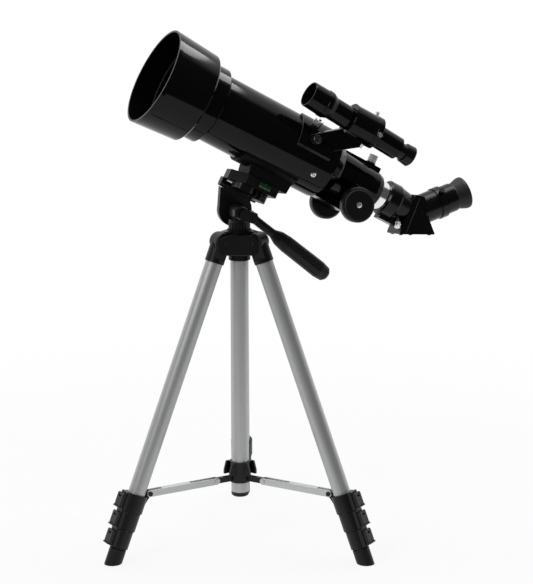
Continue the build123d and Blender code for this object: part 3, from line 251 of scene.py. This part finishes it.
satin_black = plastic("satin_black", 0.0030, 0.0045, (0.34, 0.42), 1800.0, 0.08, 0.32)
dull_black = plastic("dull_black", 0.0018, 0.0028, (0.52, 0.62), 2600.0, 0.14, 0.16)
flock_black = plastic("flock_black", 0.0008, 0.0014, (0.85, 0.95), 3200.0, 0.30, 0.02)
gloss_black = plastic("gloss_black", 0.0020, 0.0030, (0.07, 0.10), 220.0, 0.010, 0.17)
smooth_black = plastic("smooth_black", 0.0025, 0.0038, (0.20, 0.26), 1200.0, 0.04, 0.24)
rubber_black = plastic("rubber_black", 0.0050, 0.0075, (0.46, 0.56), 2200.0, 0.18, 0.30)
# The eyecup's black rubber with a lighter base: a painted sheen
cup_rubber_painted_sheen = plastic("cup_rubber_painted_sheen", 0.0110, 0.0170, (0.48, 0.58), 2200.0, 0.18, 0.36)
# A lighter grey for thin beads and rings along black edges and seams: a painted highlight
painted_edge_highlight = plastic("painted_edge_highlight", 0.022, 0.038, (0.34, 0.46), 900.0, 0.08, 0.40)
chrome = polished("chrome", (0.78, 0.79, 0.81), (0.86, 0.87, 0.89), (0.12, 0.18))
nickel = polished("nickel", (0.70, 0.69, 0.67), (0.82, 0.81, 0.79), (0.30, 0.38))
blackened = polished("blackened_nickel", (0.13, 0.13, 0.13), (0.19, 0.19, 0.19), (0.30, 0.38))
bright_nickel = polished("bright_nickel", (0.86, 0.86, 0.85), (0.93, 0.93, 0.92), (0.36, 0.44), 0.55)
lens = glass("coated_lens", (0.50, 0.62, 0.70), (0.58, 0.70, 0.66), (0.02, 0.05), 1.0)
vial = glass("green_vial", (0.003, 0.045, 0.008), (0.006, 0.075, 0.014), (0.10, 0.16), 0.25)
vial_bubble = glass("vial_bubble", (0.03, 0.18, 0.04), (0.05, 0.26, 0.06), (0.10, 0.18), 0.30)
column_metal = drawn_aluminium("column_aluminium", 0.50, 0.58, Matrix.Identity(4))
leg_metal = {}
brace_metal = {}
for name, azimuth in LEG_AZIMUTHS.items():
    outward = turn(azimuth, "Z") @ turn(90, "Y")
    leg_metal[name] = drawn_aluminium(f"leg_{name}_aluminium", 0.50, 0.58, leg_frame(name))
    brace_metal[name] = drawn_aluminium(f"brace_{name}_aluminium", 0.60, 0.68, outward)


def dress(node, *materials):
    """Gives a solid its materials, the first of them on every face."""
    data = nodes[node].data
    data.materials.clear()
    for material in materials:
        data.materials.append(material)


def dress_where(node, matrix, plain, special, test):
    """Gives the faces whose middle passes the test, in the matrix's frame, the special material."""
    dress(node, plain, special)
    into = (Matrix.Scale(MM, 4) @ matrix).inverted()
    for polygon in nodes[node].data.polygons:
        if test(into @ polygon.center, into.to_3x3() @ polygon.normal):
            polygon.material_index = 1


def dress_leg(node, name, metal_from, metal_to, other):
    """Bare tube between two stations down the leg, the moulded pieces elsewhere."""
    reach = LEG_TUBE_RADIUS + TUBE_MARGIN

    def bare(spot, normal):
        return math.hypot(spot.x, spot.y) < reach and metal_from < -spot.z < metal_to

    dress_where(node, leg_frame(name), other, leg_metal[name], bare)


def inside_tube(spot, normal):
    """Faces that look towards the axis of the tube."""
    return normal.y * spot.y + normal.z * spot.z < -0.2 * normal.length * math.hypot(spot.y, spot.z)


def near_nut(spot, normal):
    """The blackened nut on the near side of the finder's saddle."""
    return spot.y < NEAR_NUT_SIDE and spot.x < NEAR_NUT_END


PLAIN = {
    satin_black: ["shoulder", "column_end_cap", "column_lock_collar", "pan_neck", "tilt_bracket",
                  "tilt_wing_knob", "platform", "spreader_hub", "camera_screw", "focus_wheels"],
    smooth_black: ["drawtube_adapter", "diagonal_body", "eyepiece_body", "eyepiece_thumbscrew",
                   "finder_eyepiece"],
    dull_black: ["mounting_foot"],
    gloss_black: ["main_tube", "lens_cell", "focuser_housing", "finder_bracket"],
    rubber_black: ["pan_handle"],
    cup_rubber_painted_sheen: ["eyecup"],
    column_metal: ["centre_tube", "elevator_column"],
    chrome: ["drawtube"],
    nickel: ["adapter_thumbscrew", "focus_pinion"],
    bright_nickel: ["focus_lock_screw"],
    lens: ["objective_lenses", "finder_objective", "eyepiece_lens", "diagonal_prism"],
    vial: ["bubble_level"],
}
for material, names in PLAIN.items():
    for node in names:
        dress(node, material)
dress_where("dew_shield", SCOPE, gloss_black, flock_black, inside_tube)
dress_where("finder_tube", FINDER, gloss_black, flock_black, inside_tube)
dress_where("finder_fasteners", SCOPE, nickel, blackened, near_nut)
for name in LEG_AZIMUTHS:
    dress_leg(f"leg_{name}_upper", name, SOCKET_END, LOCK_TOP, satin_black)
    dress_leg(f"leg_{name}_section_2", name, 0.0, LOCK_TOP + LOCK_PITCH, satin_black)
    dress_leg(f"leg_{name}_section_3", name, 0.0, LOCK_TOP + 2 * LOCK_PITCH, satin_black)
    dress_leg(f"leg_{name}_foot_section", name, 0.0, LOCK_TOP + 3 * LOCK_PITCH, rubber_black)
    for step in (1, 2, 3):
        dress(f"leg_{name}_lever_{step}", satin_black)
    dress(f"leg_{name}_brace", brace_metal[name])


# Pieces
def add_piece(name, shape, place, body, material):
    """Puts a bmesh built in millimetres into the scene, riding on a body."""
    bmesh.ops.remove_doubles(shape, verts=shape.verts, dist=0.001)
    bmesh.ops.recalc_face_normals(shape, faces=shape.faces)
    shape.transform(Matrix.Scale(MM, 4) @ place)
    mesh = bpy.data.meshes.new(name)
    shape.to_mesh(mesh)
    shape.free()
    mesh.shade_smooth()
    mesh.set_sharp_from_angle(angle=math.radians(SHARP_ANGLE))
    mesh.materials.append(material)
    piece = bpy.data.objects.new(name, mesh)
    bpy.context.scene.collection.objects.link(piece)
    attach(piece, body)


def join_rows(shape, rows):
    """Skins rings of the same number of points, each to the next."""
    for here, there in zip(rows, rows[1:]):
        for step in range(len(here)):
            after = (step + 1) % len(here)
            shape.faces.new((here[step], here[after], there[after], there[step]))


def lathe(profile, steps=72):
    """A ring or knob turned about X from a closed outline of (station, radius) points."""
    shape = bmesh.new()
    rows = []
    for station, radius in profile:
        row = []
        for step in range(steps):
            angle = 2 * math.pi * step / steps
            row.append(shape.verts.new((station, radius * math.cos(angle), radius * math.sin(angle))))
        rows.append(row)
    join_rows(shape, rows + rows[:1])
    return shape


def ring_profile(start, end, inner, outer, edge):
    """The outline of a flat ring with broken outer edges."""
    return [(start, inner), (start, outer - edge), (start + edge, outer), (end - edge, outer),
            (end, outer - edge), (end, inner)]


def cross_head(radius, height, rings=18, steps=72):
    """A domed screw head along X, with a cross-shaped recess sunk into it."""
    shape = bmesh.new()
    slot_half = 0.17 * radius
    slot_reach = 0.62 * radius
    slot_depth = 0.55 * height
    rows = []
    for ring in range(rings + 1):
        reach = radius * ring / rings
        row = []
        for step in range(steps):
            angle = 2 * math.pi * step / steps
            y = reach * math.cos(angle)
            z = reach * math.sin(angle)
            top = height * (1 - 0.45 * (reach / radius) ** 2)
            if reach < slot_reach and min(abs(y), abs(z)) < slot_half:
                top -= slot_depth
            row.append(shape.verts.new((top, y, z)))
        rows.append(row)
    foot = [shape.verts.new((0, vert.co.y, vert.co.z)) for vert in rows[-1]]
    middle = [shape.verts.new((0, 0, 0)) for vert in foot]
    rows += [foot, middle]
    join_rows(shape, rows)
    return shape


def wire(points, radius, sides=8):
    """A thin round bead along a line of points."""
    shape = bmesh.new()
    points = [Vector(point) for point in points]
    rows = []
    across = None
    for index, point in enumerate(points):
        before = points[max(index - 1, 0)]
        after = points[min(index + 1, len(points) - 1)]
        along = (after - before).normalized()
        if across is None:
            across = along.orthogonal().normalized()
        else:
            across = (across - along * across.dot(along)).normalized()
        upward = along.cross(across)
        row = []
        for side in range(sides):
            angle = 2 * math.pi * side / sides
            outward = across * math.cos(angle) + upward * math.sin(angle)
            row.append(shape.verts.new(point + radius * outward))
        rows.append(row)
    join_rows(shape, rows)
    shape.faces.new(rows[0])
    shape.faces.new(reversed(rows[-1]))
    return shape


def arc(station, radius, first, last, count):
    """Points on a circle about X, from one roll angle to another."""
    angles = [math.radians(first + (last - first) * k / count) for k in range(count + 1)]
    return [(station, -radius * math.sin(a), radius * math.cos(a)) for a in angles]


def dress_head():
    """The washer that shows between the neck and the wing knob, and the level's marks."""
    washer = lathe(ring_profile(*TILT_WASHER))
    add_piece("tilt_washer", washer, HEAD @ TO_NEAR, "tilt_bracket", chrome)
    place = PLATFORM @ shift(*VIAL_PLACE)
    for index, mark in enumerate(VIAL_MARKS):
        line = lathe(ring_profile(mark - VIAL_LINE_HALF, mark + VIAL_LINE_HALF, *VIAL_LINE_SECTION))
        add_piece(f"vial_line_{index + 1}", line, place, "telescope", dull_black)
    outline = []
    for step in range(13):
        angle = math.pi * step / 12
        outline.append((BUBBLE_HALF_LENGTH * math.cos(angle), BUBBLE_RADIUS * math.sin(angle)))
    bubble = lathe(outline, 32)
    add_piece("vial_bubble", bubble, place @ shift(*BUBBLE_OFFSET), "telescope", vial_bubble)


def dress_tube():
    """Screws at the tube's rear end, the ring inside the shield in a lighter grey that paints a highlight
    line on it, the lens retainer and its baffle ridges.
    """
    for index, roll in enumerate(TUBE_SCREW_ROLLS):
        around = SCOPE @ shift(TUBE_SCREW_STATION, 0, 0) @ turn(roll, "X")
        place = around @ shift(0, 0, TUBE_RADIUS - SCREW_SINK) @ TO_UP
        head = cross_head(*TUBE_SCREW_HEAD)
        add_piece(f"tube_screw_{index + 1}", head, place, "telescope", nickel)
    retainer = lathe(RETAINER_OUTLINE, 96)
    add_piece("lens_retainer", retainer, SCOPE, "telescope", satin_black)
    step = lathe(SHIELD_STEP_OUTLINE, 144)
    add_piece("shield_inner_ring", step, SCOPE, "telescope", painted_edge_highlight)
    for index in range(RIDGE_COUNT):
        start = RIDGE_START + RIDGE_PITCH * index
        ridge = lathe([(start + along, radius) for along, radius in RIDGE_OUTLINE], 96)
        add_piece(f"baffle_ridge_{index + 1}", ridge, SCOPE, "telescope", dull_black)


def dress_focuser():
    """The wheel screws and the lock screw's washer."""
    wheel = SCOPE @ shift(FOCUS_STATION, 0, FOCUS_DROP)
    for side, way in (("near", TO_NEAR), ("far", TO_FAR)):
        place = wheel @ way @ shift(WHEEL_FACE, 0, 0)
        head = cross_head(*WHEEL_SCREW_HEAD)
        add_piece(f"wheel_screw_{side}", head, place, "focus_shaft", nickel)
    place = SCOPE @ shift(LOCK_STATION, 0, 0) @ TO_UP
    washer = lathe(ring_profile(*LOCK_WASHER))
    add_piece("lock_washer", washer, place, "focus_lock_screw", satin_black)


def dress_diagonal():
    """The seams down both sides of the cover, as light grey beads that paint a highlight along each seam,
    and the screws under its slope.
    """
    slope = math.degrees(math.atan2(COVER_HEEL.x - COVER_TOE.x, COVER_HEEL.z - COVER_TOE.z))
    for label, side in (("near", -1.0), ("far", 1.0)):
        wall = COVER_HALF_WIDTH * side
        seam = wire([(SEAM_TOP[0], wall, SEAM_TOP[1]), (SEAM_FOOT[0], wall, SEAM_FOOT[1])], SEAM_RADIUS)
        add_piece(f"cover_seam_{label}", seam, SCOPE, "diagonal", painted_edge_highlight)
        for index, share in enumerate(COVER_SCREW_SHARES):
            spot = Matrix.Translation(COVER_TOE.lerp(COVER_HEEL, share))
            place = SCOPE @ spot @ shift(0, COVER_SCREW_OFFSET * side, 0) @ turn(slope, "Y")
            name = f"cover_screw_{label}_{index + 1}"
            head = cross_head(*COVER_SCREW_HEAD)
            add_piece(name, head, place, "diagonal", satin_black)


def dress_finder():
    """Raised rings on the finder, the saddle's nut, and light grey beads that paint highlights along the
    edges of the bracket.
    """
    hood = lathe(ring_profile(*HOOD_RING))
    add_piece("finder_hood_ring", hood, FINDER, "telescope", gloss_black)
    for index, (start, end) in enumerate(FINDER_BANDS):
        band = lathe(ring_profile(start, end, *BAND_SECTION))
        add_piece(f"finder_band_{index + 1}", band, RING, "telescope", gloss_black)
    around = SCOPE @ shift(NUT_STATION, 0, 0) @ turn(NUT_ROLL, "X")
    nut = around @ shift(0, 0, NUT_SEAT) @ TO_UP
    rim = lathe(ring_profile(*NUT_RIM))
    add_piece("saddle_nut_rim", rim, nut, "telescope", blackened)
    stud = cross_head(*NUT_STUD)
    add_piece("saddle_nut_stud", stud, nut @ shift(NUT_TOP, 0, 0), "telescope", blackened)
    front_edge = arc(SADDLE_FRONT, SADDLE_RADIUS, *SADDLE_ROLLS, 24)
    corner = front_edge[-1]
    low_edge = [corner, (SADDLE_BACK, corner[1], corner[2])]
    stalk = SCOPE @ turn(-SCOPE_ROLL, "X") @ shift(0, STALK_SIDE, 0)
    # Beads along the saddle's and stalk's edges, in the light grey of a painted highlight
    beads = {
        "saddle_front_edge": (front_edge, SCOPE),
        "saddle_low_edge": (low_edge, SCOPE),
        "stalk_top_edge": ([STALK_FOOT, STALK_TOP], stalk),
        "stalk_low_edge": ([STALK_FOOT, *STALK_LOW], stalk),
    }
    for name, (points, place) in beads.items():
        add_piece(name, wire(points, BEAD_RADIUS), place, "telescope", painted_edge_highlight)


dress_head()
dress_tube()
dress_focuser()
dress_diagonal()
dress_finder()


# Stage: places in metres, glow as a share of white
FLOOR_FRONT = -0.80
FLOOR_REACH = 9.0
FLOOR_DROP = 0.0005
GLOW_NEAR = 0.30
GLOW_FAR = 1.10
GLOW_LEAST = 0.90
ROOM_GLOW = 0.08
SWEEP_START = -0.05
SWEEP_END = 0.25
FILL_LIGHT = 0.35


def combine(tree, operation, first, second):
    """A math node on a socket and a second socket or a constant."""
    node = tree.nodes.new("ShaderNodeMath")
    node.operation = operation
    tree.links.new(first, node.inputs[0])
    if isinstance(second, float):
        node.inputs[1].default_value = second
    else:
        tree.links.new(second, node.inputs[1])
    return node.outputs[0]


def seen_directly(tree):
    """1 for the rays that show the background: straight from the camera, mirrored or through glass."""
    rays = tree.nodes.new("ShaderNodeLightPath").outputs
    either = combine(tree, "MAXIMUM", rays["Is Glossy Ray"], rays["Is Transmission Ray"])
    return combine(tree, "MAXIMUM", rays["Is Camera Ray"], either)


def stage_material():
    """A white table top that keeps the shadows near the object and fades to plain white further off."""
    material, tree, shader = new_material("stage_white")
    shader.inputs["Base Color"].default_value = (0.80, 0.80, 0.80, 1)
    shader.inputs["Roughness"].default_value = 0.9
    shader.inputs["Specular IOR Level"].default_value = 0.0
    glow = tree.nodes.new("ShaderNodeEmission")
    tree.links.new(seen_directly(tree), glow.inputs["Strength"])
    place = tree.nodes.new("ShaderNodeTexCoord").outputs["Object"]
    length = tree.nodes.new("ShaderNodeVectorMath")
    length.operation = "LENGTH"
    tree.links.new(place, length.inputs[0])
    fade = tree.nodes.new("ShaderNodeMapRange")
    fade.interpolation_type = "SMOOTHSTEP"
    fade.inputs["From Min"].default_value = GLOW_NEAR
    fade.inputs["From Max"].default_value = GLOW_FAR
    fade.inputs["To Min"].default_value = GLOW_LEAST
    tree.links.new(length.outputs["Value"], fade.inputs["Value"])
    mix = tree.nodes.new("ShaderNodeMixShader")
    tree.links.new(fade.outputs["Result"], mix.inputs["Fac"])
    tree.links.new(shader.outputs[0], mix.inputs[1])
    tree.links.new(glow.outputs[0], mix.inputs[2])
    tree.links.new(mix.outputs[0], tree.nodes["Material Output"].inputs["Surface"])
    return material


def make_floor():
    """A flat table top that ends a little way in front of the object."""
    mesh = bpy.data.meshes.new("floor")
    left, right, back = -FLOOR_REACH, FLOOR_REACH, FLOOR_REACH
    corners = [(left, FLOOR_FRONT, 0), (right, FLOOR_FRONT, 0), (right, back, 0), (left, back, 0)]
    mesh.from_pydata(corners, [], [(0, 1, 2, 3)])
    floor = bpy.data.objects.new("floor", mesh)
    bpy.context.scene.collection.objects.link(floor)
    floor.location.z = -FLOOR_DROP
    mesh.materials.append(stage_material())


def make_world():
    """White to the camera all round, a white sweep behind the object and a dark room before it."""
    world = bpy.data.worlds.new("studio")
    bpy.context.scene.world = world
    world.use_nodes = True
    tree = world.node_tree
    back = tree.nodes["Background"]
    back.inputs["Color"].default_value = (1, 1, 1, 1)
    way = tree.nodes.new("ShaderNodeTexCoord").outputs["Generated"]
    split = tree.nodes.new("ShaderNodeSeparateXYZ")
    tree.links.new(way, split.inputs[0])
    sweep = tree.nodes.new("ShaderNodeMapRange")
    sweep.interpolation_type = "SMOOTHSTEP"
    sweep.inputs["From Min"].default_value = SWEEP_START
    sweep.inputs["From Max"].default_value = SWEEP_END
    sweep.inputs["To Min"].default_value = ROOM_GLOW
    tree.links.new(split.outputs["Y"], sweep.inputs["Value"])
    rays = tree.nodes.new("ShaderNodeLightPath").outputs
    shown = combine(tree, "MULTIPLY", seen_directly(tree), sweep.outputs["Result"])
    ambient = combine(tree, "MAXIMUM", shown, ROOM_GLOW)
    whole = combine(tree, "MAXIMUM", rays["Is Camera Ray"], ambient)
    fill = combine(tree, "MULTIPLY", rays["Is Diffuse Ray"], FILL_LIGHT)
    tree.links.new(combine(tree, "MAXIMUM", whole, fill), back.inputs["Strength"])


def area_light(name, place, target, width, height, power, along=None):
    """A soft box aimed at the target, its width laid along a direction when one is given."""
    data = bpy.data.lights.new(name, "AREA")
    data.shape = "RECTANGLE"
    data.size = width
    data.size_y = height
    data.energy = power
    lamp = bpy.data.objects.new(name, data)
    lamp.location = place
    aim = Vector(target) - Vector(place)
    lamp.rotation_euler = aim.to_track_quat("-Z", "Y").to_euler()
    if along is not None:
        back = -aim.normalized()
        side = (along - back * along.dot(back)).normalized()
        lamp.rotation_euler = Matrix((side, back.cross(side), back)).transposed().to_euler()
    bpy.context.scene.collection.objects.link(lamp)


# Camera, in millimetres and degrees
CAMERA_PLACE = (31.3, -2124.9, 791.7)
CAMERA_DOWN = 12.99
CAMERA_LENS = 126.85
CAMERA_SENSOR = 36.0


def make_camera():
    """A long lens, level from side to side and tipped down a little."""
    data = bpy.data.cameras.new("camera")
    data.sensor_fit = "HORIZONTAL"
    data.sensor_width = CAMERA_SENSOR
    data.lens = CAMERA_LENS
    camera = bpy.data.objects.new("camera", data)
    camera.location = Vector(CAMERA_PLACE) * MM
    camera.rotation_euler = (math.radians(90 - CAMERA_DOWN), 0, 0)
    bpy.context.scene.collection.objects.link(camera)
    bpy.context.scene.camera = camera


make_camera()
make_floor()
make_world()
tripod_middle = (0.0, 0.0, 0.35)
shield_front = (-0.13, -0.06, 0.56)
tube_direction = SCOPE.to_3x3() @ Vector((1, 0, 0))
area_light("key", (-1.3, -1.5, 1.9), tripod_middle, width=1.2, height=1.2, power=26.0)
area_light("edge", (0.53, 0.34, 1.2), shield_front, width=0.17, height=0.46, power=2.3, along=tube_direction)
area_light("top", (0.1, 0.4, 2.1), tripod_middle, width=1.6, height=0.7, power=16.0)
bpy.context.scene.view_settings.view_transform = "Standard"
